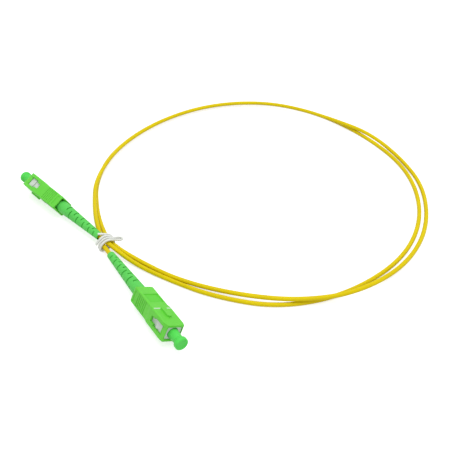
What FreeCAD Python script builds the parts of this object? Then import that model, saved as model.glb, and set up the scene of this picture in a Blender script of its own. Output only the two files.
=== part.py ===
# Simplex fibre optic patch cable: an angled push-pull plug at each end of one
# jacketed cable, which lies in two loose turns held by a coated wire tie.
# Each plug is drawn in its own frame: +X out of the nose, +Z on the key side,
# origin at the middle of the sleeve's front edge. Lengths are millimetres.
import FreeCAD
import Part
import Sketcher
import math
import os
import re

V = FreeCAD.Vector
doc = FreeCAD.newDocument("PatchCable")

# Driving dimensions, each measured back from the sleeve's front edge where it is a place

SIZES = {
    # coupling sleeve
    "sleeve_length": 26.9,
    "sleeve_corner": 0.5,
    "cavity_corner": 0.6,
    "nose_length": 12.4,
    "nose_side_wall": 1.0,
    "nose_top_wall": 0.9,
    "step_length": 1.6,
    "grip_side_wall": 0.75,
    "grip_top_wall": 0.55,
    "tail_bevel": 0.5,
    "tail_inset": 0.15,
    "slide_clearance": 0.1,
    "sleeve_travel": 2.0,
    "window_front": 2.7,
    "window_arm": 0.4,
    "window_stem_length": 2.4,
    "window_stem_height": 2.6,
    "hook_channel_depth": 0.6,
    "nose_cut_length": 2.8,
    "nose_cut_depth": 0.8,
    "key_front": 5.3,
    "key_length": 5.7,
    "key_width": 2.2,
    "key_height": 0.8,
    "key_bevel": 0.6,
    "rib_front": 16.25,
    "rib_pitch": 1.2,
    "rib_gap": 0.5,
    "rib_count": 6,
    "rib_depth": 0.2,
    "rib_height": 6.0,
    "panel_front": 15.7,
    "panel_length": 5.8,
    "panel_width": 6.6,
    "panel_depth": 0.25,
    "pad_front": 24.1,
    "pad_length": 1.6,
    "pad_height": 5.0,
    "pad_depth": 0.2,
    # plug frame
    "frame_front": 0.4,
    "frame_width": 6.8,
    "frame_height": 5.4,
    "frame_corner": 0.9,
    "seat_front": 5.0,
    "seat_wall": 1.0,
    "ridge_room": 0.2,
    "ridge_back_room": 1.6,
    "ridge_length": 1.4,
    "ridge_ramp": 0.8,
    "ridge_height": 0.55,
    "ridge_width": 3.3,
    "ridge_root": 0.5,
    "lug_front": 11.2,
    "lug_length": 1.0,
    "lug_height": 0.4,
    "lug_width": 2.2,
    "lug_room": 0.1,
    "lug_root": 0.4,
    "snap_set_back": 1.2,
    "snap_length": 1.2,
    "snap_width": 1.8,
    "snap_room": 0.1,
    # ferrule and its collar
    "ferrule_tip": 1.5,
    "ferrule_length": 10.5,
    "ferrule_diameter": 2.5,
    "ferrule_tip_diameter": 1.6,
    "ferrule_cone": 0.6,
    "ferrule_angle": 8.0,
    "ferrule_clearance": 0.15,
    "ferrule_funnel": 1.0,
    "collar_diameter": 4.0,
    "collar_gap": 0.05,
    "collar_lip": 0.25,
    "collar_clearance": 0.2,
    "stem_length": 1.6,
    "stem_diameter": 2.3,
    # spring
    "spring_wire": 0.4,
    "spring_clearance": 0.1,
    "spring_turns": 4,
    "spring_gap": 0.05,
    "spring_length": 4.2,
    # back body, yarn and crimp ring
    "barrel_length": 4.0,
    "barrel_clearance": 0.05,
    "back_flange_rim": 0.4,
    "back_flange": 1.0,
    "neck_diameter": 3.2,
    "neck_length": 6.8,
    "neck_groove": 0.15,
    "neck_groove_width": 0.4,
    "neck_groove_pitch": 1.2,
    "neck_groove_count": 4,
    "neck_groove_start": 1.6,
    "yarn_start": 0.5,
    "yarn_layer": 0.3,
    "yarn_gather": 2.4,
    "yarn_jacket_layer": 0.25,
    "crimp_start": 0.3,
    "crimp_wall": 0.3,
    "crimp_cone": 2.0,
    "crimp_tail": 3.0,
    "crimp_fit": 0.02,
    # cable and fibre
    "cable_diameter": 2.0,
    "buffer_diameter": 0.9,
    "buffer_clearance": 0.1,
    # boot
    "boot_gap": 0.2,
    "boot_diameter": 5.7,
    "boot_clearance": 0.15,
    "boot_fit": 0.1,
    "boot_plain": 10.7,
    "boot_taper": 27.6,
    "boot_end_diameter": 3.5,
    "boot_cable_clearance": 0.15,
    "boot_mouth": 9.0,
    "boot_mouth_wall": 0.3,
    "slit_start": 3.2,
    "slit_pitch": 2.85,
    "slit_closing": 0.13,
    "slit_width": 0.6,
    "slit_core": 1.3,
    # dust cap
    "cap_reach": 7.0,
    "cap_flange": 2.1,
    "cap_flange_diameter": 5.5,
    "cap_shaft_diameter": 4.4,
    "cap_waist_diameter": 4.0,
    "cap_flare": 0.5,
    "cap_shaft_clearance": 0.2,
    "cap_seat_gap": 0.6,
    "cap_fit": 0.03,
    "cap_tip_room": 0.6,
    "cap_dish": 0.3,
    "cap_rim": 0.6,
    "cap_edge": 0.35,
    # wire tie
    "tie_wire": 1.1,
    # room that a cut runs past the face that it opens
    "cut_over": 1.0,
}

# Fits: what seats in, slides on or lines up with another piece

FITS = {
    "cavity_width": "frame_width + 2 * slide_clearance",
    "cavity_height": "frame_height + 2 * slide_clearance",
    "nose_width": "cavity_width + 2 * nose_side_wall",
    "nose_height": "cavity_height + 2 * nose_top_wall",
    "mouth_diameter": "boot_diameter + 2 * boot_clearance",
    "grip_width": "cavity_width + 2 * grip_side_wall",
    "grip_height": "mouth_diameter + 2 * grip_top_wall",
    "step_back": "nose_length + step_length",
    "tail_front": "sleeve_length - tail_bevel",
    "ridge_front": "window_front + sleeve_travel + ridge_room",
    "ridge_back": "ridge_front + ridge_length",
    "window_step": "ridge_back + ridge_back_room",
    "window_back": "window_step + window_stem_length",
    "window_height": "ridge_width + 2 * window_arm",
    "key_back": "key_front + key_length",
    "lug_back": "lug_front + lug_length",
    "frame_bore": "cap_shaft_diameter + 2 * cap_shaft_clearance",
    "seat_back": "seat_front + seat_wall",
    "seat_bore": "ferrule_diameter + 2 * ferrule_clearance",
    "spring_bore": "collar_diameter + 2 * collar_clearance",
    "ferrule_back": "ferrule_length - ferrule_tip",
    "collar_front": "seat_back + collar_gap",
    "collar_back": "ferrule_back + collar_lip",
    "stem_back": "collar_back + stem_length",
    "stem_bore": "buffer_diameter + 2 * buffer_clearance",
    "spring_front": "collar_back + spring_gap",
    "spring_back": "spring_front + spring_length",
    "spring_middle": "stem_diameter / 2 + spring_clearance + spring_wire / 2",
    "back_front": "spring_back + spring_gap",
    "frame_back": "back_front + barrel_length",
    "snap_front": "back_front + snap_set_back",
    "snap_back": "snap_front + snap_length",
    "barrel_diameter": "spring_bore - 2 * barrel_clearance",
    "flange_diameter": "barrel_diameter + 2 * back_flange_rim",
    "flange_back": "frame_back + back_flange",
    "neck_back": "flange_back + neck_length",
    "yarn_front": "flange_back + yarn_start",
    "yarn_diameter": "neck_diameter + 2 * yarn_layer",
    "cable_front": "neck_back + yarn_gather",
    "crimp_front": "flange_back + crimp_start",
    "crimp_diameter": "yarn_diameter + 2 * crimp_wall",
    "crimp_cone_back": "neck_back + crimp_cone",
    "crimp_bore": "cable_diameter + 2 * crimp_fit",
    "crimp_tail_diameter": "crimp_bore + 2 * crimp_wall",
    "crimp_back": "cable_front + crimp_tail",
    "boot_front": "flange_back + boot_gap",
    "boot_shoulder": "boot_front + boot_plain",
    "boot_back": "boot_shoulder + boot_taper",
    "boot_bore": "cable_diameter + 2 * boot_cable_clearance",
    "boot_mouth_diameter": "boot_end_diameter - 2 * boot_mouth_wall",
    "cap_flange_back": "cap_reach - cap_flange",
    "cap_bore": "ferrule_diameter + 2 * cap_fit",
    "cap_back": "seat_front - cap_seat_gap",
}

# How the plugs and the tie lie on the table: place, then yaw, pitch and roll in degrees

LAY = {
    "a": FreeCAD.Placement(V(-38.17, 51.31, 6.1), FreeCAD.Rotation(134.3, -1.8, -118.3)),
    "b": FreeCAD.Placement(V(38.78, -49.39, 5.97), FreeCAD.Rotation(-57.5, -2.25, -27.0)),
    "tie": FreeCAD.Placement(V(5.0, 7.5, 0.0), FreeCAD.Rotation(-45.0, 0.0, 0.0)),
}
ENDS = ("a", "b")

# How far each boot has been turned on its cable, in degrees
BOOT_TURN = {"a": -34.0, "b": -20.0}

# Middle of the two plugs' box on the table
MIDDLE = V(-0.046, 0.719, 0)

# How far behind the sleeve's front edge the cable runs straight out of its boot
STRAIGHT_OUT = 62.4

# The cable's route over the table, from the boot of plug a to the boot of plug b
ROUTE = [
    (18, -5, 1.4),
    (34, -14.5, 1),
    (54, -25, 1),
    (81, -31, 1),
    (110.5, -23, 1),
    (139, 0, 1),
    (154.5, 32.5, 1),
    (155.5, 70, 1),
    (140, 103.5, 1),
    (114.5, 132, 1),
    (82, 146.5, 1),
    (46, 141.5, 1),
    (15.5, 119, 1),
    (-4, 87.5, 1),
    (-8, 58.5, 1),
    (-4, 35.5, 1),
    (0, 22, 1.1),
    (6, 8.5, 2.65),
    (19, -1.5, 1.3),
    (39, -15, 1),
    (65, -25, 2.2),
    (90, -29.5, 3.6),
    (114, -24.5, 3.6),
    (138, -5.5, 1.3),
    (154, 21, 1),
    (160, 54, 1),
    (154, 81, 1.2),
    (141, 103.5, 3.3),
    (124, 118, 3.5),
    (101.5, 134.5, 3.2),
    (78.5, 143.5, 2.2),
    (48.5, 139.5, 2.2),
    (20.5, 120.5, 2.55),
    (-0.5, 90.5, 2.95),
    (-8, 58, 3.2),
    (-4.8, 35, 3.3),
    (-1.6, 22.5, 3),
    (1.8, 13.2, 1.3),
    (2.7, 9.1, 1.6),
    (3.6, 6.2, 2.78),
]

# The tie's wire, in its own frame: along the bundle, across it and up
TIE_ROUTE = [
    (-4.2, -1.3, 6.7),
    (-2.1, 1.2, 6.4),
    (-1.5, 3.6, 5),
    (-1.6, 4.6, 1.9),
    (-1.2, 3.1, 0.6),
    (-0.8, -2.4, 0.6),
    (-0.7, -4.1, 2),
    (-0.6, -2.6, 4.9),
    (-0.3, -0.2, 6),
    (1.1, 3.2, 4.9),
    (0.5, 6.1, 3.2),
    (1, 7.3, 2.7),
    (2.1, 7.4, 2.6),
    (2.8, 6.2, 2.9),
    (2.3, 3.4, 4.4),
    (1.3, -0.2, 6),
    (1.1, -3.3, 5),
    (1, -4.8, 2.4),
    (0.9, -2.6, 0.6),
    (0.6, 2.8, 0.6),
    (0.1, 4.2, 1.9),
    (-0.2, 3.2, 5),
    (-1.2, 0.4, 6.5),
    (-1.6, -2.2, 5.9),
    (-2, -4.4, 3.4),
]

# Part of a run that each arc of a route takes up, slits along a boot, and the spring's
# corners in a turn and flat sides
ARC_SHARE = 0.45
SLITS = 10
SPRING_CORNERS = 6
SPRING_SIDES = 6
FULL_TURN = 360.0

# Sheet and expressions

sheet = doc.addObject("Spreadsheet::Sheet", "Sizes")
for line, (name, value) in enumerate(SIZES.items(), start=1):
    sheet.set("A%d" % line, name)
    sheet.set("B%d" % line, str(value))
    sheet.setAlias("B%d" % line, name)
doc.recompute()


def bound(text):
    """Spells an expression out in the sheet's own cells."""

    def cell(match):
        word = match.group(0)
        if word in FITS:
            return "(" + bound(FITS[word]) + ")"
        if word in SIZES:
            return "Sizes." + word
        return word

    return re.sub(r"[a-z][a-z_]*", cell, text)


def size(text):
    """The present value of an expression."""
    return float(sheet.evalExpression(bound(text)))


# Sketches and features

def new_body(label):
    body = doc.addObject("PartDesign::Body", label)
    body.Label = label
    return body


def new_sketch(body, name, role, offset):
    sketch = body.newObject("Sketcher::SketchObject", body.Label + "_" + name)
    plane = [each for each in body.Origin.OriginFeatures if each.Role == role][0]
    sketch.AttachmentSupport = (plane, [""])
    sketch.MapMode = "FlatFace"
    sketch.setExpression("AttachmentOffset.Base.z", bound(offset))
    return sketch


def hold(sketch, kind, places, text):
    """Adds one constraint and binds it to its expression."""
    index = sketch.addConstraint(Sketcher.Constraint(kind, *places, size(text)))
    sketch.setExpression("Constraints[%d]" % index, bound(text))


def outline(body, name, role, loops, offset="0"):
    """Loops of straight sides, with both distances of every corner bound."""
    sketch = new_sketch(body, name, role, offset)
    for loop in loops:
        first = sketch.GeometryCount
        corners = [V(size(x), size(y), 0) for x, y in loop]
        for start, end in zip(corners, corners[1:] + corners[:1]):
            sketch.addGeometry(Part.LineSegment(start, end), False)
        for i in range(len(loop)):
            after = first + (i + 1) % len(loop)
            sketch.addConstraint(Sketcher.Constraint("Coincident", first + i, 2, after, 1))
        for i, (x, y) in enumerate(loop):
            hold(sketch, "DistanceX", (-1, 1, first + i, 1), x)
            hold(sketch, "DistanceY", (-1, 1, first + i, 1), y)
    return sketch


def rounded(body, name, width, height, corner, offset):
    """A rectangle with round corners across the plug's axis."""
    sketch = new_sketch(body, name, "YZ_Plane", offset)
    sides = ((1, 1), (-1, 1), (-1, -1), (1, -1))
    quarter = math.pi / 2
    for i, (across, up) in enumerate(sides):
        middle = V(across * size(width + "/2 -" + corner), up * size(height + "/2 -" + corner), 0)
        circle = Part.Circle(middle, V(0, 0, 1), size(corner))
        sketch.addGeometry(Part.ArcOfCircle(circle, i * quarter, (i + 1) * quarter), False)
    for i in range(4):
        start = sketch.Geometry[i].EndPoint
        end = sketch.Geometry[(i + 1) % 4].StartPoint
        sketch.addGeometry(Part.LineSegment(start, end), False)
    for i in range(4):
        sketch.addConstraint(Sketcher.Constraint("Tangent", i, 2, 4 + i, 1))
        sketch.addConstraint(Sketcher.Constraint("Tangent", 4 + i, 2, (i + 1) % 4, 1))
    for i, (across, up) in enumerate(sides):
        hold(sketch, "DistanceX", (-1, 1, i, 3), "%d * (%s / 2 - %s)" % (across, width, corner))
        hold(sketch, "DistanceY", (-1, 1, i, 3), "%d * (%s / 2 - %s)" % (up, height, corner))
        hold(sketch, "Radius", (i,), corner)
    return sketch


def feature(body, kind, sketch, name):
    made = body.newObject("PartDesign::" + kind, body.Label + "_" + name)
    made.Profile = sketch
    return made


def block(body, kind, sketch, name, length):
    """A pad or pocket that reaches as far to both sides of its sketch."""
    made = feature(body, kind, sketch, name)
    made.SideType = "Symmetric"
    made.setExpression("Length", bound(length))
    return made


def turned(body, kind, name, loop):
    """A revolution or groove about the plug's axis."""
    sketch = outline(body, name + "_outline", "XY_Plane", [loop])
    made = feature(body, kind, sketch, name)
    made.ReferenceAxis = (sketch, ["H_Axis"])
    made.Angle = FULL_TURN
    return made


def row(body, first, name, pitch, count):
    """Repeats a cut along the plug's axis, towards the cable."""
    axis = [each for each in body.Origin.OriginFeatures if each.Role == "X_Axis"][0]
    made = body.newObject("PartDesign::LinearPattern", body.Label + "_" + name)
    made.Originals = [first]
    made.Direction = (axis, [""])
    made.Reversed = True
    made.Mode = "Spacing"
    made.setExpression("Offset", bound(pitch))
    made.setExpression("Occurrences", bound(count))
    body.Tip = made
    return made


def oblong(front, back, low, high):
    """Corners of a rectangle from a front to a back place and a low to a high one."""
    return [("-(%s)" % back, low), ("-(%s)" % front, low), ("-(%s)" % front, high), ("-(%s)" % back, high)]


def both_sides(front, back, inner, outer):
    """A rectangle on each side of the axis."""
    far_side = oblong(front, back, "-(%s)" % outer, "-(%s)" % inner)
    return [oblong(front, back, inner, outer), far_side]


# Coupling sleeve: the moulded green shell that is pushed and pulled by its grip

def coupling_sleeve(end):
    body = new_body("coupling_sleeve_" + end)
    tail_width = "grip_width - 2 * tail_inset"
    tail_height = "grip_height - 2 * tail_inset"
    sections = [
        rounded(body, "nose_front", "nose_width", "nose_height", "sleeve_corner", "0"),
        rounded(body, "nose_back", "nose_width", "nose_height", "sleeve_corner", "-nose_length"),
        rounded(body, "grip_front", "grip_width", "grip_height", "sleeve_corner", "-step_back"),
        rounded(body, "grip_back", "grip_width", "grip_height", "sleeve_corner", "-tail_front"),
        rounded(body, "tail", "(%s)" % tail_width, "(%s)" % tail_height, "sleeve_corner", "-sleeve_length"),
    ]
    shell = feature(body, "AdditiveLoft", sections[0], "shell")
    shell.Sections = sections[1:]
    shell.Ruled = True

    key_loop = [
        ("-(key_back)", "-key_width / 2"),
        ("-(key_front + key_bevel)", "-key_width / 2"),
        ("-key_front", "key_bevel - key_width / 2"),
        ("-key_front", "key_width / 2 - key_bevel"),
        ("-(key_front + key_bevel)", "key_width / 2"),
        ("-(key_back)", "key_width / 2"),
    ]
    key_shape = outline(body, "key_outline", "XY_Plane", [key_loop], "cavity_height / 2 + lug_height")
    key = feature(body, "Pad", key_shape, "key")
    key.setExpression("Length", bound("nose_top_wall - lug_height + key_height"))

    hollow = rounded(body, "cavity_outline", "cavity_width", "cavity_height", "cavity_corner", "cut_over")
    cavity = feature(body, "Pocket", hollow, "cavity")
    cavity.setExpression("Length", bound("sleeve_length + 2 * cut_over"))

    turned(body, "Groove", "mouth", [
        ("-(boot_front - sleeve_travel - boot_gap)", "0"),
        ("-(boot_front - sleeve_travel - boot_gap)", "mouth_diameter / 2"),
        ("-(sleeve_length + cut_over)", "mouth_diameter / 2"),
        ("-(sleeve_length + cut_over)", "0"),
    ])

    stem = "window_stem_height / 2"
    arm = "window_height / 2"
    window_loop = [
        ("-window_front", "-" + arm),
        ("-window_front", arm),
        ("-(window_step)", arm),
        ("-(window_step)", stem),
        ("-(window_back)", stem),
        ("-(window_back)", "-" + stem),
        ("-(window_step)", "-" + stem),
        ("-(window_step)", "-" + arm),
    ]
    window = outline(body, "window_outline", "XZ_Plane", [window_loop])
    block(body, "Pocket", window, "window", "nose_width + 2 * cut_over")

    outer = "nose_width / 2 + cut_over"
    channel_loops = both_sides("-cut_over", "window_front", "nose_width / 2 - hook_channel_depth", outer)
    channel = outline(body, "hook_channel_outline", "XY_Plane", channel_loops)
    block(body, "Pocket", channel, "hook_channel", "window_height")

    cut_loops = []
    for side in ("", "-"):
        cut_loops.append([
            ("-nose_cut_length", side + "(nose_width / 2)"),
            ("0", side + "(nose_width / 2 - nose_cut_depth)"),
            ("cut_over", side + "(nose_width / 2 - nose_cut_depth)"),
            ("cut_over", side + "(nose_width / 2 + cut_over)"),
            ("-nose_cut_length", side + "(nose_width / 2 + cut_over)"),
        ])
    corner_cut = outline(body, "nose_cut_outline", "XY_Plane", cut_loops)
    block(body, "Pocket", corner_cut, "nose_cut", "nose_height + 2 * cut_over")

    slot_front = "lug_front - sleeve_travel - lug_room"
    slot_top = "cavity_height / 2 + lug_height + lug_room - slide_clearance"
    slot_loops = both_sides(slot_front, "lug_back + lug_room", "cavity_height / 2 - lug_root", slot_top)
    slot = outline(body, "lug_slot_outline", "XZ_Plane", slot_loops)
    block(body, "Pocket", slot, "lug_slot", "lug_width + 2 * lug_room")

    panel_back = "panel_front + panel_length"
    panel_floor = "grip_height / 2 - panel_depth"
    panel_loops = both_sides("panel_front", panel_back, panel_floor, "grip_height / 2 + cut_over")
    panel = outline(body, "panel_outline", "XZ_Plane", panel_loops)
    block(body, "Pocket", panel, "panel", "panel_width")

    past_grip = "grip_width / 2 + cut_over"
    pad_floor = "grip_width / 2 - pad_depth"
    pad_loops = both_sides("pad_front", "pad_front + pad_length", pad_floor, past_grip)
    pad_shape = outline(body, "side_pad_outline", "XY_Plane", pad_loops)
    block(body, "Pocket", pad_shape, "side_pad", "pad_height")

    gap_floor = "grip_width / 2 - rib_depth"
    gap_loops = both_sides("rib_front", "rib_front + rib_gap", gap_floor, past_grip)
    gap_shape = outline(body, "rib_gap_outline", "XY_Plane", gap_loops)
    first_gap = block(body, "Pocket", gap_shape, "first_rib_gap", "rib_height")
    row(body, first_gap, "rib_gaps", "rib_pitch", "rib_count")
    return body


# Plug frame: the white inner housing that latches in an adapter by its side ridges

def plug_frame(end):
    body = new_body("plug_frame_" + end)
    section = rounded(body, "section", "frame_width", "frame_height", "frame_corner", "-frame_front")
    tube = feature(body, "Pad", section, "tube")
    tube.Reversed = True
    tube.setExpression("Length", bound("frame_back - frame_front"))

    ridge_loops = []
    for side in ("", "-"):
        ridge_loops.append([
            ("-(ridge_front)", side + "(frame_width / 2 - ridge_root)"),
            ("-(ridge_front)", side + "(frame_width / 2)"),
            ("-(ridge_front + ridge_ramp)", side + "(frame_width / 2 + ridge_height)"),
            ("-(ridge_back)", side + "(frame_width / 2 + ridge_height)"),
            ("-(ridge_back)", side + "(frame_width / 2 - ridge_root)"),
        ])
    ridges = outline(body, "ridge_outline", "XY_Plane", ridge_loops)
    block(body, "Pad", ridges, "ridges", "ridge_width")

    lug_foot = "frame_height / 2 - lug_root"
    lug_loops = both_sides("lug_front", "lug_back", lug_foot, "frame_height / 2 + lug_height")
    lugs = outline(body, "lug_outline", "XZ_Plane", lug_loops)
    block(body, "Pad", lugs, "lugs", "lug_width")

    turned(body, "Groove", "bore", [
        ("cut_over", "0"),
        ("cut_over", "frame_bore / 2"),
        ("-seat_front", "frame_bore / 2"),
        ("-seat_front", "seat_bore / 2"),
        ("-(seat_back)", "seat_bore / 2"),
        ("-(seat_back)", "spring_bore / 2"),
        ("-(frame_back + cut_over)", "spring_bore / 2"),
        ("-(frame_back + cut_over)", "0"),
    ])

    snap_loop = [oblong("snap_front", "snap_back", "-snap_width / 2", "snap_width / 2")]
    snap = outline(body, "snap_window_outline", "XY_Plane", snap_loop)
    block(body, "Pocket", snap, "snap_windows", "frame_height + 2 * cut_over")
    return body


# Ferrule: the ground zirconia pin, its end face polished at an angle

def ferrule(end):
    body = new_body("ferrule_" + end)
    turned(body, "Revolution", "pin", [
        ("ferrule_tip", "0"),
        ("ferrule_tip", "ferrule_tip_diameter / 2"),
        ("ferrule_tip - ferrule_cone", "ferrule_diameter / 2"),
        ("-(ferrule_back)", "ferrule_diameter / 2"),
        ("-(ferrule_back)", "stem_bore / 2"),
        ("-(ferrule_back - ferrule_funnel)", "0"),
    ])
    slope = "ferrule_tip_diameter * tan(ferrule_angle * 1 deg)"
    face_loop = [
        ("ferrule_tip", "-ferrule_tip_diameter / 2"),
        ("ferrule_tip - " + slope, "ferrule_tip_diameter / 2"),
        ("ferrule_tip - " + slope, "ferrule_diameter"),
        ("ferrule_tip + cut_over", "ferrule_diameter"),
        ("ferrule_tip + cut_over", "-ferrule_tip_diameter / 2"),
    ]
    face = outline(body, "angled_face_outline", "XZ_Plane", [face_loop])
    block(body, "Pocket", face, "angled_face", "ferrule_diameter + 2 * cut_over")
    return body


# Ferrule collar: the metal flange pressed on the ferrule, which the spring pushes forward

def ferrule_collar(end):
    body = new_body("ferrule_collar_" + end)
    turned(body, "Revolution", "flange", [
        ("-(collar_front)", "ferrule_diameter / 2"),
        ("-(collar_front)", "collar_diameter / 2"),
        ("-(collar_back)", "collar_diameter / 2"),
        ("-(collar_back)", "stem_diameter / 2"),
        ("-(stem_back)", "stem_diameter / 2"),
        ("-(stem_back)", "stem_bore / 2"),
        ("-(ferrule_back)", "stem_bore / 2"),
        ("-(ferrule_back)", "ferrule_diameter / 2"),
    ])
    return body


# Back body: the metal rear piece that snaps into the plug frame and carries the crimp

def back_body(end):
    body = new_body("back_body_" + end)
    turned(body, "Revolution", "turning", [
        ("-(back_front)", "stem_diameter / 2 + spring_clearance"),
        ("-(back_front)", "barrel_diameter / 2"),
        ("-(frame_back)", "barrel_diameter / 2"),
        ("-(frame_back)", "flange_diameter / 2"),
        ("-(flange_back)", "flange_diameter / 2"),
        ("-(flange_back)", "neck_diameter / 2"),
        ("-(neck_back)", "neck_diameter / 2"),
        ("-(neck_back)", "stem_bore / 2"),
        ("-(frame_back)", "stem_bore / 2"),
        ("-(frame_back)", "stem_diameter / 2 + spring_clearance"),
    ])
    barb_top = "frame_height / 2 - snap_room"
    barb_loops = both_sides(
        "snap_front + snap_room", "snap_back - snap_room", "barrel_diameter / 2 - lug_root", barb_top)
    barbs = outline(body, "barb_outline", "XZ_Plane", barb_loops)
    block(body, "Pad", barbs, "barbs", "snap_width - 2 * snap_room")

    groove_front = "flange_back + neck_groove_start"
    groove_back = "flange_back + neck_groove_start + neck_groove_width"
    first = turned(body, "Groove", "first_neck_groove", oblong(
        groove_front, groove_back, "neck_diameter / 2 - neck_groove", "neck_diameter / 2 + cut_over"))
    row(body, first, "neck_grooves", "neck_groove_pitch", "neck_groove_count")
    return body


# Aramid yarn: the cable's strength member, fanned over the neck under the crimp

def aramid_yarn(end):
    body = new_body("aramid_yarn_" + end)
    turned(body, "Revolution", "layer", [
        ("-(yarn_front)", "neck_diameter / 2"),
        ("-(yarn_front)", "yarn_diameter / 2"),
        ("-(neck_back)", "yarn_diameter / 2"),
        ("-(cable_front)", "stem_bore / 2 + yarn_jacket_layer"),
        ("-(cable_front)", "stem_bore / 2"),
        ("-(neck_back)", "neck_diameter / 2"),
    ])
    return body


# Crimp ring: the stepped metal sleeve pressed over yarn and jacket

def crimp_ring(end):
    body = new_body("crimp_ring_" + end)
    turned(body, "Revolution", "sleeve", [
        ("-(crimp_front)", "yarn_diameter / 2"),
        ("-(crimp_front)", "crimp_diameter / 2"),
        ("-(neck_back)", "crimp_diameter / 2"),
        ("-(crimp_cone_back)", "crimp_tail_diameter / 2"),
        ("-(crimp_back)", "crimp_tail_diameter / 2"),
        ("-(crimp_back)", "crimp_bore / 2"),
        ("-(crimp_cone_back)", "crimp_bore / 2"),
        ("-(neck_back)", "yarn_diameter / 2"),
    ])
    return body


# Buffered fibre: the tight-coated glass fibre between the jacket's end and the ferrule

def buffered_fibre(end):
    body = new_body("buffered_fibre_" + end)
    turned(body, "Revolution", "coating", [
        ("-(ferrule_back)", "0"),
        ("-(ferrule_back)", "buffer_diameter / 2"),
        ("-(cable_front)", "buffer_diameter / 2"),
        ("-(cable_front)", "0"),
    ])
    return body


# Boot: the soft tapered strain relief, cut by slits that alternate between two planes

def boot(end):
    body = new_body("boot_" + end)
    turned(body, "Revolution", "taper", [
        ("-(boot_front)", "crimp_diameter / 2 + boot_fit"),
        ("-(boot_front)", "boot_diameter / 2"),
        ("-(boot_shoulder)", "boot_diameter / 2"),
        ("-(boot_back)", "boot_end_diameter / 2"),
        ("-(boot_back)", "boot_mouth_diameter / 2"),
        ("-(boot_back - boot_mouth)", "boot_bore / 2"),
        ("-(crimp_back + boot_fit)", "boot_bore / 2"),
        ("-(crimp_back + boot_fit)", "crimp_tail_diameter / 2 + boot_fit"),
        ("-(crimp_cone_back)", "crimp_tail_diameter / 2 + boot_fit"),
        ("-(neck_back)", "crimp_diameter / 2 + boot_fit"),
    ])
    for first, (name, plane) in enumerate((("top", "XZ_Plane"), ("side", "XY_Plane"))):
        loops = []
        for i in range(first, SLITS, 2):
            closed_up = i * (i - 1) / 2
            front = "boot_shoulder + slit_start + %d * slit_pitch - %d * slit_closing" % (i, closed_up)
            loops += both_sides(front, front + " + slit_width", "slit_core", "boot_diameter")
        shape = outline(body, name + "_slit_outline", plane, loops)
        block(body, "Pocket", shape, name + "_slits", "boot_diameter + 2 * cut_over")
    return body


# Dust cap: the push-on cover of the ferrule, with a round flange to pull it by

def dust_cap(end):
    body = new_body("dust_cap_" + end)
    face = "cap_flange_diameter / 2"
    turned(body, "Revolution", "cover", [
        ("cap_reach - cap_dish", "0"),
        ("cap_reach - cap_dish", face + " - cap_edge - cap_rim"),
        ("cap_reach", face + " - cap_edge - cap_rim / 2"),
        ("cap_reach", face + " - cap_edge"),
        ("cap_reach - cap_edge", face),
        ("cap_flange_back + cap_edge", face),
        ("cap_flange_back", face + " - cap_edge"),
        ("cap_flange_back - cap_flare", "cap_waist_diameter / 2"),
        ("-frame_front", "cap_shaft_diameter / 2"),
        ("-(cap_back)", "cap_shaft_diameter / 2"),
        ("-(cap_back)", "cap_bore / 2"),
        ("ferrule_tip + cap_tip_room", "cap_bore / 2"),
        ("ferrule_tip + cap_tip_room", "0"),
    ])
    return body


# Round wire and cable along a route

def route_turns(points):
    """The arc at each corner of a route, as large as its two runs allow."""
    turns = []
    for before, corner, after in zip(points, points[1:], points[2:]):
        back = (before - corner).normalize()
        ahead = (after - corner).normalize()
        reach = ARC_SHARE * min(before.distanceToPoint(corner), after.distanceToPoint(corner))
        turn = math.pi - back.getAngle(ahead)
        radius = reach / math.tan(turn / 2)
        centre = corner + (back + ahead).normalize() * (radius / math.cos(turn / 2))
        start = corner + back * reach
        axis = (start - centre).cross(corner + ahead * reach - centre).normalize()
        turns.append((start, centre, axis, turn, radius))
    return turns


def round_bar(label, points, diameter, sides=0):
    """A closed bar, round or with flat sides: straight on each run, turned on each arc."""
    along = points[1] - points[0]
    circle = Part.makeCircle(diameter / 2, points[0], along)
    rim = Part.Wire(circle)
    if sides:
        corners = circle.discretize(sides + 1)
        rim = Part.makePolygon(corners[:-1] + corners[:1])
    faces = [Part.Face(rim)]
    length = 0.0
    radii = []
    place = points[0]
    for start, centre, axis, turn, radius in route_turns(points):
        faces += [edge.extrude(start - place) for edge in rim.Edges]
        rim = rim.translated(start - place)
        faces += [edge.revolve(centre, axis, math.degrees(turn)) for edge in rim.Edges]
        rim = rim.rotated(centre, axis, math.degrees(turn))
        length += place.distanceToPoint(start) + radius * turn
        radii.append(radius)
        place = centre + FreeCAD.Rotation(axis, math.degrees(turn)).multVec(start - centre)
    faces += [edge.extrude(points[-1] - place) for edge in rim.Edges]
    faces.append(Part.Face(rim.translated(points[-1] - place)))
    length += place.distanceToPoint(points[-1])
    shell = Part.Shell(faces)
    shell.sewShape()
    solid = Part.Solid(shell)
    if solid.Volume < 0:
        solid.reverse()
    bar = doc.addObject("Part::Feature", label)
    bar.Label = label
    bar.Shape = solid
    section = faces[0].Area
    print("%s: length %.1f, volume over section and length %.4f, smallest radius %.1f"
          % (label, length, solid.Volume / (section * length), min(radii)))
    print("  radii", ", ".join("%.1f" % radius for radius in radii))
    return bar


# Spring: the coil that presses collar and ferrule forward

def spring(end):
    middle = size("spring_middle")
    front = -size("spring_front + spring_wire / 2")
    travel = size("spring_length - spring_wire")
    corners = SPRING_CORNERS * int(size("spring_turns"))
    reach = middle / math.cos(math.pi / SPRING_CORNERS)
    points = []
    for i in range(corners + 1):
        angle = 2 * math.pi * i / SPRING_CORNERS
        points.append(V(front - travel * i / corners, reach * math.cos(angle), reach * math.sin(angle)))
    return round_bar("spring_" + end, points, size("spring_wire"), SPRING_SIDES)


# The assembly

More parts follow.
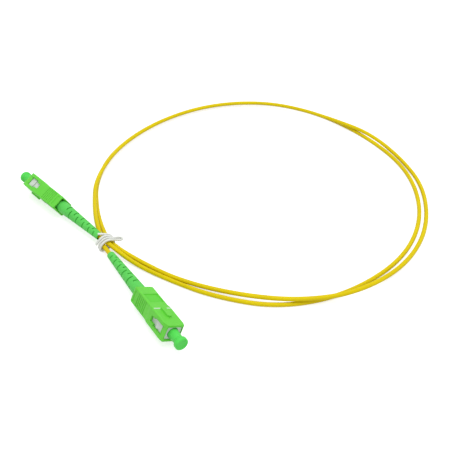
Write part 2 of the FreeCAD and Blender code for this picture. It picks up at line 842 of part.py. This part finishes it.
def settled(lay):
    """A placement seen from the middle of the two plugs, which is the part's origin."""
    return FreeCAD.Placement(lay.Base - MIDDLE, lay.Rotation)


MAKERS = (coupling_sleeve, plug_frame, ferrule, ferrule_collar, spring, back_body,
          aramid_yarn, crimp_ring, buffered_fibre, boot, dust_cap)
pieces = []
for end in ENDS:
    for make in MAKERS:
        piece = make(end)
        piece.Placement = settled(LAY[end])
        if make is boot:
            turn = FreeCAD.Rotation(V(1, 0, 0), BOOT_TURN[end])
            piece.Placement = piece.Placement.multiply(FreeCAD.Placement(V(), turn))
        pieces.append(piece)

lead = [V(-size("cable_front"), 0, 0), V(-STRAIGHT_OUT, 0, 0)]
leaving = [settled(LAY["a"]).multVec(point) for point in lead]
arriving = [settled(LAY["b"]).multVec(point) for point in reversed(lead)]
cable_points = leaving + [V(*point) - MIDDLE for point in ROUTE] + arriving
pieces.append(round_bar("fibre_cable", cable_points, size("cable_diameter")))
tie_points = [settled(LAY["tie"]).multVec(V(*point)) for point in TIE_ROUTE]
pieces.append(round_bar("wire_tie", tie_points, size("tie_wire")))

# Checks, then one file for each piece

doc.recompute()
for each in doc.Objects:
    if "Invalid" in each.State or "Error" in each.State:
        raise RuntimeError("%s did not build: %s" % (each.Label, each.State))
for piece in pieces:
    if piece.Shape.isNull() or not piece.Shape.isValid():
        raise RuntimeError("%s has no valid shape" % piece.Label)

os.makedirs("parts", exist_ok=True)
for piece in pieces:
    piece.Shape.exportStep("parts/%s.step" % piece.Label)
    print("%s %.2f mm3, %d solid" % (piece.Label, piece.Shape.Volume, len(piece.Shape.Solids)))
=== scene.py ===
import math
import bmesh
import bpy
from mathutils import Matrix, Vector


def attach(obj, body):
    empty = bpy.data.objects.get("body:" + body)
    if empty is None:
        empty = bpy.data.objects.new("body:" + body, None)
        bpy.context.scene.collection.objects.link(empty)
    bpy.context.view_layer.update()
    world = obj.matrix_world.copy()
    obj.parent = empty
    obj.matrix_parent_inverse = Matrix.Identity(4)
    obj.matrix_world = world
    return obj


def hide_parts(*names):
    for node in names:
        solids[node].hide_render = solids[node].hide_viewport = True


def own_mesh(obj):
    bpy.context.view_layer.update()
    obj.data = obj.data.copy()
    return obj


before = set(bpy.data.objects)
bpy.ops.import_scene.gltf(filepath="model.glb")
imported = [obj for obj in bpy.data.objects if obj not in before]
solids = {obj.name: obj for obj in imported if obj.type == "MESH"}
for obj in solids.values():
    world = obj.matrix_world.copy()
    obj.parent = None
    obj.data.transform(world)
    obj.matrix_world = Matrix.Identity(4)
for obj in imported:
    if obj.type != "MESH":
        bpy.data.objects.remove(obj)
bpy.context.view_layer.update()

# Fibre cable: one simplex cord 2 mm thick, in two loose turns on the table, with a yellow
# PVC jacket over aramid yarn and one buffered fibre. It is extruded, so it is smooth and
# round with a satin skin, and both its ends are crimped into the plugs.

MM_PER_M = 1000
PATCH_UP_TO = 0.3  # of the drift's range, where the patch's colour begins to fade
BODY_FROM = 0.7  # of the drift's range, where the body's colour is full


def linear(code):
    """A linear colour for a shader socket from an sRGB hex code."""
    shares = [int(code[start:start + 2], 16) / 255 for start in (1, 3, 5)]
    return [s / 12.92 if s <= 0.04045 else ((s + 0.055) / 1.055) ** 2.4 for s in shares] + [1.0]


def add(tree, kind, links=(), **settings):
    """A node with its settings; links are (input, other node's output socket)."""
    made = tree.nodes.new("ShaderNode" + kind)
    for name, value in settings.items():
        if hasattr(made, name):
            setattr(made, name, value)
        else:
            made.inputs[name.replace("_", " ")].default_value = value
    for name, source in links:
        tree.links.new(source, made.inputs[name])
    return made


def per_mm(size):
    """Texture scale for a pattern of that size in millimetres, on coordinates in metres."""
    return MM_PER_M / size


def blank(name):
    """A material with an empty node tree and its output node."""
    material = bpy.data.materials.new(name)
    material.use_nodes = True
    material.node_tree.nodes.clear()
    return material, material.node_tree, add(material.node_tree, "OutputMaterial")


def surface(name, body, patch, gloss, dull, grain, relief, blotch=6.0, **skin):
    """A faint drift of colour, and a fine grain that breaks the gloss; sizes in mm."""
    material, tree, out = blank(name)
    place = add(tree, "TexCoord").outputs["Object"]
    drift = add(tree, "TexNoise", [("Vector", place)], Scale=per_mm(blotch), Detail=2.0)
    colour = add(tree, "ValToRGB", [("Fac", drift.outputs["Fac"])])
    stops = colour.color_ramp.elements
    for stop, share, shade in zip(stops, (PATCH_UP_TO, BODY_FROM), (patch, body)):
        stop.position = share
        stop.color = linear(shade)
    fine = add(tree, "TexNoise", [("Vector", place)], Scale=per_mm(grain), Detail=3.0)
    rough = add(tree, "MapRange", [("Value", fine.outputs["Fac"])], To_Min=gloss, To_Max=dull)
    bump = add(tree, "Bump", [("Height", fine.outputs["Fac"])], Strength=0.6,
               Distance=relief / MM_PER_M)
    shader = add(tree, "BsdfPrincipled", [
        ("Base Color", colour.outputs["Color"]),
        ("Roughness", rough.outputs["Result"]),
        ("Normal", bump.outputs["Normal"]),
    ], **skin)
    tree.links.new(shader.outputs["BSDF"], out.inputs["Surface"])
    return material


def laid_line(name, points, diameter):
    """A round flexible line along the smooth curve that these control points give."""
    curve = bpy.data.curves.new(name, "CURVE")
    curve.dimensions = "3D"
    curve.bevel_depth = diameter / 2
    curve.bevel_resolution = 5
    curve.resolution_u = 16
    curve.use_fill_caps = True
    spline = curve.splines.new("NURBS")
    spline.points.add(len(points) - 1)
    for control, point in zip(spline.points, points):
        control.co = (*point, 1.0)
    spline.order_u = 3
    spline.use_endpoint_u = True
    line = bpy.data.objects.new(name, curve)
    bpy.context.scene.collection.objects.link(line)
    return line


CORD_BODY = "cable_and_frames"
CABLE_DIAMETER = 0.0020
CABLE_ROUTE = [
    (-0.01875, 0.03074, 0.00523), (0.00544, 0.00595, 0.00414), (0.01845, -0.00512, 0.00140),
    (0.03415, -0.01502, 0.00100), (0.05415, -0.02542, 0.00100), (0.08105, -0.03172, 0.00100),
    (0.11055, -0.02372, 0.00100), (0.13905, -0.00072, 0.00100), (0.15455, 0.03178, 0.00100),
    (0.15555, 0.06928, 0.00100), (0.14005, 0.10278, 0.00100), (0.11455, 0.13128, 0.00100),
    (0.08205, 0.14578, 0.00100), (0.04605, 0.14078, 0.00100), (0.01555, 0.11828, 0.00100),
    (-0.00395, 0.08678, 0.00100), (-0.00795, 0.05778, 0.00100), (-0.00395, 0.03478, 0.00100),
    (0.00035, 0.02138, 0.00110), (0.00605, 0.00778, 0.00265), (0.01905, -0.00222, 0.00130),
    (0.03905, -0.01572, 0.00100), (0.06505, -0.02572, 0.00220), (0.09005, -0.03022, 0.00360),
    (0.11405, -0.02522, 0.00360), (0.13805, -0.00622, 0.00130), (0.15405, 0.02028, 0.00100),
    (0.16005, 0.05328, 0.00100), (0.15405, 0.08028, 0.00120), (0.14105, 0.10278, 0.00330),
    (0.12405, 0.11728, 0.00350), (0.10155, 0.13378, 0.00320), (0.07855, 0.14278, 0.00220),
    (0.04855, 0.13878, 0.00220), (0.02055, 0.11978, 0.00255), (-0.00045, 0.08978, 0.00295),
    (-0.00795, 0.05728, 0.00320), (-0.00475, 0.03428, 0.00330), (-0.00185, 0.02168, 0.00330),
    (0.00165, 0.01238, 0.00130), (0.00275, 0.00838, 0.00160), (0.00365, 0.00548, 0.00278),
    (0.00532, 0.00248, 0.00352), (0.02393, -0.02672, 0.00488),
]
cable = laid_line("cable_jacket", CABLE_ROUTE, CABLE_DIAMETER)
# Extruded PVC: a satin skin with one soft streak of light along the cord, and a yellow that
# drifts a little. The grain that breaks the gloss is drawn coarser than the real one.
cable.data.materials.append(surface(
    "extruded_yellow_pvc", body="#dcc603", patch="#d5be02", gloss=0.42, dull=0.56,
    grain=0.25, relief=0.02, blotch=9.0, Specular_IOR_Level=0.12))
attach(cable, CORD_BODY)
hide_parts("fibre_cable")

# Buffered fibre, yarn and crimp: the white fibre runs on from the jacket's end to the
# ferrule, the yellow aramid yarn is folded back over the back body's knurled neck, and a
# drawn metal ring is crimped over it.

ENDS = ("a", "b")
# A plug's sizes are in millimetres in its own frame, and the cable's and the tie's in metres.
PLUG_LAY = {  # each plug's origin, and its turns about Z, Y and X in degrees
    "a": ((-38.124, 50.591, 6.1), (134.3, -1.8, -118.3)),
    "b": ((38.826, -50.109, 5.97), (-57.5, -2.25, -27.0)),
}
WELD = 1e-4  # mm, within which corners are one
SHARP_CORNER = math.radians(32)


def dress(piece, material):
    """The CAD solid keeps its shape and takes this finish."""
    solids[piece].data.materials.clear()
    solids[piece].data.materials.append(material)


def plug_place(end):
    """From a plug's own frame in millimetres, +X out of its nose, to the part's frame."""
    base, turns = PLUG_LAY[end]
    place = Matrix.Scale(1 / MM_PER_M, 4) @ Matrix.Translation(base)
    for degrees, axis in zip(turns, "ZYX"):
        place = place @ Matrix.Rotation(math.radians(degrees), 4, axis)
    return place


def finished(name, shape, body, material):
    """A shape in its place made a piece with its finish, smooth but at its corners."""
    mesh = bpy.data.meshes.new(name)
    shape.to_mesh(mesh)
    shape.free()
    mesh.shade_smooth()
    mesh.set_sharp_from_angle(angle=SHARP_CORNER)
    mesh.materials.append(material)
    piece = bpy.data.objects.new(name, mesh)
    bpy.context.scene.collection.objects.link(piece)
    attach(piece, body)
    return piece


def giving_copy(name, node, material):
    """A solid's own shape, which gives way towards its back when the ferrule is pushed in."""
    shape = bmesh.new()
    shape.from_mesh(solids[node].data)
    bmesh.ops.remove_doubles(shape, verts=shape.verts, dist=WELD / MM_PER_M)
    piece = finished(name, shape, CORD_BODY, material)
    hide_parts(node)
    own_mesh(piece)


# Extruded nylon is milky and half glossy, drawn aluminium is a soft grey mirror, and aramid
# is a dull straw colour. Their grain is drawn coarser than the real marks and filaments.
BUFFER = surface("extruded_white_nylon", body="#f0f0ec", patch="#e6e6e0", gloss=0.35, dull=0.5,
                 grain=0.2, relief=0.01, IOR=1.5)
CRIMP = surface("drawn_aluminium", body="#c4c4c2", patch="#b4b4b0", gloss=0.25, dull=0.42,
                grain=0.3, relief=0.01, Metallic=1.0)
YARN = surface("laid_aramid_yarn", body="#d9bf5a", patch="#c2a540", gloss=0.55, dull=0.8,
               grain=0.12, relief=0.08, blotch=1.5)
for end in ENDS:
    giving_copy("fibre_in_buffer_" + end, "buffered_fibre_" + end, BUFFER)
    dress("aramid_yarn_" + end, YARN)
    dress("crimp_ring_" + end, CRIMP)

# Ferrule, collar, spring and back body: the ground ceramic pin sits in a metal collar that
# a small spring pushes forward, and the turned back body, snapped into the frame, backs it.

# Ground zirconia is a dense warm white with a hard shine, turned brass under nickel is a pale
# warm mirror, and drawn spring steel a cooler one. Their fine marks are drawn coarser than real.
ZIRCONIA = surface("ground_zirconia", body="#f4f3ee", patch="#ecebe4", gloss=0.10, dull=0.18,
                   grain=0.2, relief=0.003, IOR=2.1)
NICKEL = surface("turned_nickel_plated_brass", body="#c9c5b8", patch="#bdb8a8", gloss=0.18,
                 dull=0.34, grain=0.4, relief=0.006, Metallic=1.0)
SPRING = surface("drawn_spring_steel", body="#b9b9b8", patch="#a9a9a8", gloss=0.22, dull=0.36,
                 grain=0.3, relief=0.005, Metallic=1.0)
for end in ENDS:
    dress("ferrule_" + end, ZIRCONIA)
    dress("ferrule_collar_" + end, NICKEL)
    giving_copy("coil_spring_" + end, "spring_" + end, SPRING)
    dress("back_body_" + end, NICKEL)

# Plug frame: the white inner housing of the plug, moulded in stiff plastic with a latching
# ridge on each side. It snaps over the back body and shows at the nose and in the windows.

# Moulded PBT: an off-white that is smoother and glossier than the sleeve over it, with a
# faint flow pattern. Its colour is greyer and greener than the plastic's own white: painted
# shade and painted green bounce light from the sleeve's walls around the windows. The grain
# is drawn coarser than the real one.
# part the plastic's own off-white, part painted shade and painted green bounce light
FRAME_PLASTIC = surface("moulded_white_pbt", body="#d0d6d0", patch="#c6cdc6", gloss=0.30,
                        dull=0.44, grain=0.4, relief=0.01, IOR=1.5)
for end in ENDS:
    dress("plug_frame_" + end, FRAME_PLASTIC)

# Coupling sleeve: the green shell that the fingers push and pull, moulded in stiff plastic
# with a spark-textured skin. It slides 2 mm along the plug frame, held by the frame's lugs,
# and two printed marks on its key side vanish into an adapter when the plug is home.

EDGE_ROUNDING = 0.2
# painted shade: the darker green that the recessed finger panels are coloured
PANEL_SHADE_GREEN = "#58ca2f"
PANEL_MIDDLE = -18.6
PANEL_SIZES = (5.8, 6.6, 20.0)
PANEL_RIM = 0.5  # of the panel's size, from its middle
MARK_BACK = -11.7
MARK_LENGTH = 0.7
MARK_SIDES = (1.1, 4.0)
MARK_FOOT = 3.68
MARK_TOP = 3.72
MARK_CORNER = 0.12


# Spark-textured ABS: a matt green with a soft light along its edges. The recessed finger
# panels are coloured a darker green, painted shade. The grain is drawn coarser than the real one.
def sleeve_skin(end):
    """The plastic of the sleeve at that end, with painted shade on its recessed finger panels."""
    skin = surface("spark_textured_green_abs_" + end, body="#66d03e", patch="#5fc938", gloss=0.42,
                   dull=0.58, grain=0.35, relief=0.03, Specular_IOR_Level=0.35)
    tree = skin.node_tree
    soft = add(tree, "Bevel", Radius=EDGE_ROUNDING / MM_PER_M, samples=8)
    tree.links.new(soft.outputs["Normal"], tree.nodes["Bump"].inputs["Normal"])
    place = plug_place(end)
    panel = add(tree, "Mapping", [("Vector", tree.nodes["Texture Coordinate"].outputs["Object"])],
                vector_type="TEXTURE", Location=place @ Vector((PANEL_MIDDLE, 0, 0)),
                Rotation=place.to_euler(), Scale=Vector(PANEL_SIZES) * place.median_scale)
    away = add(tree, "VectorMath", [(0, panel.outputs["Vector"])], operation="ABSOLUTE")
    axes = add(tree, "SeparateXYZ", [(0, away.outputs["Vector"])])
    most = add(tree, "Math", [(0, axes.outputs["X"]), (1, axes.outputs["Y"])], operation="MAXIMUM")
    beside = add(tree, "Math", [(0, most.outputs["Value"])], operation="GREATER_THAN")
    beside.inputs[1].default_value = PANEL_RIM
    noise = tree.nodes["Noise Texture"].outputs["Fac"]
    drift = add(tree, "Math", [(0, noise), (1, beside.outputs["Value"])], operation="MULTIPLY")
    shade = tree.nodes["Color Ramp"]
    # a stop at zero gives the finger panels, where the drift is zero, a darker green: painted shade
    shade.color_ramp.elements.new(0.0).color = linear(PANEL_SHADE_GREEN)
    tree.links.new(drift.outputs["Value"], shade.inputs["Fac"])
    return skin


def plug_piece(name, shape, end, body, material):
    """A shape drawn in its plug's frame, set in place on its body."""
    shape.transform(plug_place(end))
    bmesh.ops.recalc_face_normals(shape, faces=shape.faces)
    return finished(name, shape, body, material)


# Pad-printed ink: a thin, dull, pale film that lets a little of the green through.
MARK_INK = surface("pad_printed_pale_ink", body="#bfd8ba", patch="#b4cfae", gloss=0.45, dull=0.6,
                   grain=0.2, relief=0.01)
for end in ENDS:
    dress("coupling_sleeve_" + end, sleeve_skin(end))
    marks = bmesh.new()
    sizes = (MARK_LENGTH, MARK_SIDES[1] - MARK_SIDES[0], MARK_TOP - MARK_FOOT)
    for side in (1, -1):
        middle = (MARK_BACK + MARK_LENGTH / 2, side * sum(MARK_SIDES) / 2,
                  (MARK_FOOT + MARK_TOP) / 2)
        bmesh.ops.create_cube(marks, matrix=Matrix.LocRotScale(middle, None, sizes))
    upright = [edge for edge in marks.edges
               if abs(edge.verts[0].co.z - edge.verts[1].co.z) > sizes[2] / 2]
    bmesh.ops.bevel(marks, geom=upright, offset=MARK_CORNER, affect="EDGES", segments=3,
                    profile=0.5, material=-1)
    plug_piece("printed_marks_" + end, marks, end, "sleeve_" + end, MARK_INK)

# Boot: the tapered strain relief, moulded in soft green elastomer, with slits cut in turn
# from two directions so that it bends. It is pushed over the crimp ring, and the cable leaves
# its tail.

BOOT_SHOULDER = -29.45
BOOT_OUTLINE = [
    (-18.75, 2.30), (-18.75, 2.85), (BOOT_SHOULDER, 2.85), (-57.05, 1.75), (-57.05, 1.45),
    (-48.05, 1.15), (-30.85, 1.15), (-30.85, 1.42), (-27.35, 1.42), (-25.35, 2.30),
]
BOOT_ROUNDING = {1: 0.2, 2: 1.5, 3: 0.12}
BOOT_TURN = {"a": -34.0, "b": -20.0}
SLITS = 10
SLIT_START = 3.2
SLIT_PITCH = 2.85
SLIT_CLOSING = 0.13
SLIT_WIDTH = 0.6
SLIT_CORE = 1.3
SLIT_TURN = 90.0
SLIT_SIDES = (0.0, 180.0)
FACETS = 96
ON_THE_CUT = 1e-5  # mm, within which a corner is on a cut's plane


def lathe(outline, closed, rounding):
    """A shape turned about the plug's axis; rounding is {corner number: radius}."""
    shape = bmesh.new()
    corners = [shape.verts.new((along, out, 0)) for along, out in outline]
    for here, there in zip(corners, corners[1:] + corners[:1] * closed):
        shape.edges.new((here, there))
    for number, radius in rounding.items():
        bmesh.ops.bevel(shape, geom=[corners[number]], offset=radius, affect="VERTICES", segments=4,
                        profile=0.5, material=-1)
    bmesh.ops.spin(shape, geom=shape.verts[:] + shape.edges[:], cent=(0, 0, 0), axis=(1, 0, 0),
                   angle=math.tau, steps=FACETS, use_merge=True)
    bmesh.ops.remove_doubles(shape, verts=shape.verts, dist=WELD)
    bmesh.ops.recalc_face_normals(shape, faces=shape.faces)
    return shape


# Moulded elastomer: a bluer, duller green than the sleeve, without a sharp highlight. The grain
# is drawn coarser than the real one.
BOOT_RUBBER = surface("moulded_green_elastomer", body="#5acc56", patch="#52c34e", gloss=0.48,
                      dull=0.64, grain=0.4, relief=0.03, Specular_IOR_Level=0.35)
for end in ENDS:
    shape = lathe(BOOT_OUTLINE, closed=True, rounding=BOOT_ROUNDING)
    for i in range(SLITS):
        front = BOOT_SHOULDER - SLIT_START - i * SLIT_PITCH + i * (i - 1) / 2 * SLIT_CLOSING
        back = front - SLIT_WIDTH
        for cut in (front, back):
            bmesh.ops.bisect_plane(shape, geom=shape.verts[:] + shape.edges[:] + shape.faces[:],
                                   plane_co=(cut, 0, 0), plane_no=(1, 0, 0), dist=ON_THE_CUT)
        for side in SLIT_SIDES:
            turn = math.radians(BOOT_TURN[end] + SLIT_TURN * (i % 2) + side)
            facing = Matrix.Rotation(turn, 3, "X") @ Vector((0, 0, 1))
            slit = []
            for face in shape.faces:
                middle = face.calc_center_median()
                if back < middle.x < front and middle.dot(facing) > SLIT_CORE:
                    slit.append(face)
            sunk = bmesh.ops.extrude_face_region(shape, geom=slit)
            bmesh.ops.delete(shape, geom=slit, context="FACES_ONLY")
            for corner in sunk["geom"]:
                if isinstance(corner, bmesh.types.BMVert) and corner.co.dot(facing) > SLIT_CORE:
                    out = Vector((0, corner.co.y, corner.co.z))
                    corner.co -= out * (1 - SLIT_CORE / corner.co.dot(facing))
    bmesh.ops.remove_doubles(shape, verts=shape.verts, dist=WELD)
    boot = plug_piece("ribbed_boot_" + end, shape, end, CORD_BODY, BOOT_RUBBER)
    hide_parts("boot_" + end)

# Dust cap: a soft green cover that is pushed over the ferrule until the plug is used, with
# a round grip on a narrow stem. It is moulded in polyethylene, which looks slightly waxy.

CAP_OUTLINE = [
    (6.7, 0.0), (6.7, 1.8), (7.0, 2.1), (7.0, 2.4), (6.65, 2.75), (5.25, 2.75), (4.9, 2.4),
    (4.4, 2.0), (-0.4, 2.2), (-4.4, 2.2), (-4.4, 1.28), (2.1, 1.28), (2.1, 0.0),
]
CAP_ROUNDING = {1: 0.12, 3: 0.14, 4: 0.14, 5: 0.14, 6: 0.14, 7: 0.4, 9: 0.2}
# Moulded polyethylene: a clear bright green with a broad waxy sheen. The grain is drawn coarser
# than the real one.
CAP_PLASTIC = surface("moulded_green_polyethylene", body="#53d653", patch="#4bcd4b", gloss=0.36,
                      dull=0.5, grain=0.5, relief=0.02, Specular_IOR_Level=0.3)
for end in ENDS:
    shape = lathe(CAP_OUTLINE, closed=False, rounding=CAP_ROUNDING)
    cap = plug_piece("grip_cap_" + end, shape, end, "cap_" + end, CAP_PLASTIC)
    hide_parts("dust_cap_" + end)

# Wire tie: a short length of soft iron wire in a white plastic coating, wound twice round
# the bundled cable where the turns meet, with both ends bent back.

TIE_DIAMETER = 0.0011
TIE_MIDDLE = (0.005046, 0.006781, 0)
TIE_TURN = -45
TIE_PLACE = Matrix.Translation(TIE_MIDDLE) @ Matrix.Rotation(math.radians(TIE_TURN), 4, "Z")
TIE_ROUTE = [
    (-0.0042, -0.0013, 0.0067), (-0.0021, 0.0012, 0.0064), (-0.0015, 0.0036, 0.0050),
    (-0.0016, 0.0046, 0.0019), (-0.0012, 0.0031, 0.0006), (-0.0008, -0.0024, 0.0006),
    (-0.0007, -0.0041, 0.0020), (-0.0006, -0.0026, 0.0049), (-0.0003, -0.0002, 0.0060),
    (0.0011, 0.0032, 0.0049), (0.0005, 0.0061, 0.0032), (0.0010, 0.0073, 0.0027),
    (0.0021, 0.0074, 0.0026), (0.0028, 0.0062, 0.0029), (0.0023, 0.0034, 0.0044),
    (0.0013, -0.0002, 0.0060), (0.0011, -0.0033, 0.0050), (0.0010, -0.0048, 0.0024),
    (0.0009, -0.0026, 0.0006), (0.0006, 0.0028, 0.0006), (0.0001, 0.0042, 0.0019),
    (-0.0002, 0.0032, 0.0050), (-0.0012, 0.0004, 0.0065), (-0.0016, -0.0022, 0.0059),
    (-0.0020, -0.0044, 0.0034),
]
tie = laid_line("tie_wire", [TIE_PLACE @ Vector(point) for point in TIE_ROUTE], TIE_DIAMETER)
# PVC coating on wire: an even, slightly grey white with a soft gloss that varies a little at
# random. The drift in it is drawn coarser than real.
tie.data.materials.append(surface(
    "white_pvc_coated_wire", body="#dfe1dc", patch="#d4d7d0", gloss=0.35, dull=0.5,
    grain=0.3, relief=0.02, blotch=2.0, IOR=1.5))
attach(tie, CORD_BODY)
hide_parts("wire_tie")

# Table: a plain white sweep under the part. Its colour is white to the camera and to
# reflections, and it keeps the part's soft shadow.

FLOOR_SIZE = 6.0
FLOOR_GREY = "#d4d4d4"
FLOOR_LIFT = 0.62


def seen(tree):
    """1 for what the camera, a reflection or clear glass shows, 0 for what lights the part."""
    path = add(tree, "LightPath")
    shown = path.outputs["Is Camera Ray"]
    for ray in ("Is Glossy Ray", "Is Transmission Ray"):
        either = add(tree, "Math", [(0, shown), (1, path.outputs[ray])], operation="MAXIMUM")
        shown = either.outputs["Value"]
    return shown


sweep = bpy.data.meshes.new("table_sweep")
shape = bmesh.new()
bmesh.ops.create_grid(shape, x_segments=1, y_segments=1, size=FLOOR_SIZE / 2)
shape.to_mesh(sweep)
shape.free()
table = bpy.data.objects.new("table_sweep", sweep)
bpy.context.scene.collection.objects.link(table)
# Matt paper: no gloss at all, so only the part's soft shadow shows on it.
material, tree, out = blank("white_paper_sweep")
lift = add(tree, "Math", [(0, seen(tree))], operation="MULTIPLY")
lift.inputs[1].default_value = FLOOR_LIFT
glow = add(tree, "Emission", [("Strength", lift.outputs["Value"])])
matt = add(tree, "BsdfDiffuse", Color=linear(FLOOR_GREY))
both = add(tree, "AddShader", [(0, glow.outputs["Emission"]), (1, matt.outputs["BSDF"])])
tree.links.new(both.outputs["Shader"], out.inputs["Surface"])
sweep.materials.append(material)

# Studio: an even white surround, a broad soft lamp over the table and a weaker one behind
# the camera, which stands where the photograph was taken from.

SURROUND_LIGHT = 0.68
SURROUND_SHOWN = 1.0
LOOK_AT = Vector((0.05855, 0.02378, 0.0))
LAMPS = {  # place and width in metres, power in watts
    "overhead_softbox": ((0.10, 0.05, 0.75), 0.7, 3.2),
    "front_softbox": ((0.15, -0.70, 0.35), 0.5, 0.7),
}
CAMERA_PLACE = (0.05855, -0.21802, 0.19240)
CAMERA_LENS = 52
CAMERA_SENSOR = 36
CAMERA_NEAREST = 0.01


def set_up(name, data, place):
    """A lamp or the camera on its stand, turned to the middle of the view."""
    stand = bpy.data.objects.new(name, data)
    stand.location = place
    stand.rotation_euler = (LOOK_AT - Vector(place)).to_track_quat("-Z", "Y").to_euler()
    bpy.context.scene.collection.objects.link(stand)
    return stand


world = bpy.data.worlds.new("white_studio")
bpy.context.scene.world = world
world.use_nodes = True
tree = world.node_tree
tree.nodes.clear()
level = add(tree, "MapRange", [("Value", seen(tree))], To_Min=SURROUND_LIGHT, To_Max=SURROUND_SHOWN)
surround = add(tree, "Background", [("Strength", level.outputs["Result"])], Color=(1, 1, 1, 1))
add(tree, "OutputWorld", [("Surface", surround.outputs["Background"])])

for name, (place, width, power) in LAMPS.items():
    lamp = bpy.data.lights.new(name, "AREA")
    lamp.shape = "DISK"
    lamp.size = width
    lamp.energy = power
    set_up(name, lamp, place)

camera = set_up("camera", bpy.data.cameras.new("camera"), CAMERA_PLACE)
camera.data.lens = CAMERA_LENS
camera.data.sensor_width = CAMERA_SENSOR
camera.data.clip_start = CAMERA_NEAREST
bpy.context.scene.camera = camera
bpy.context.scene.view_settings.view_transform = "Standard"
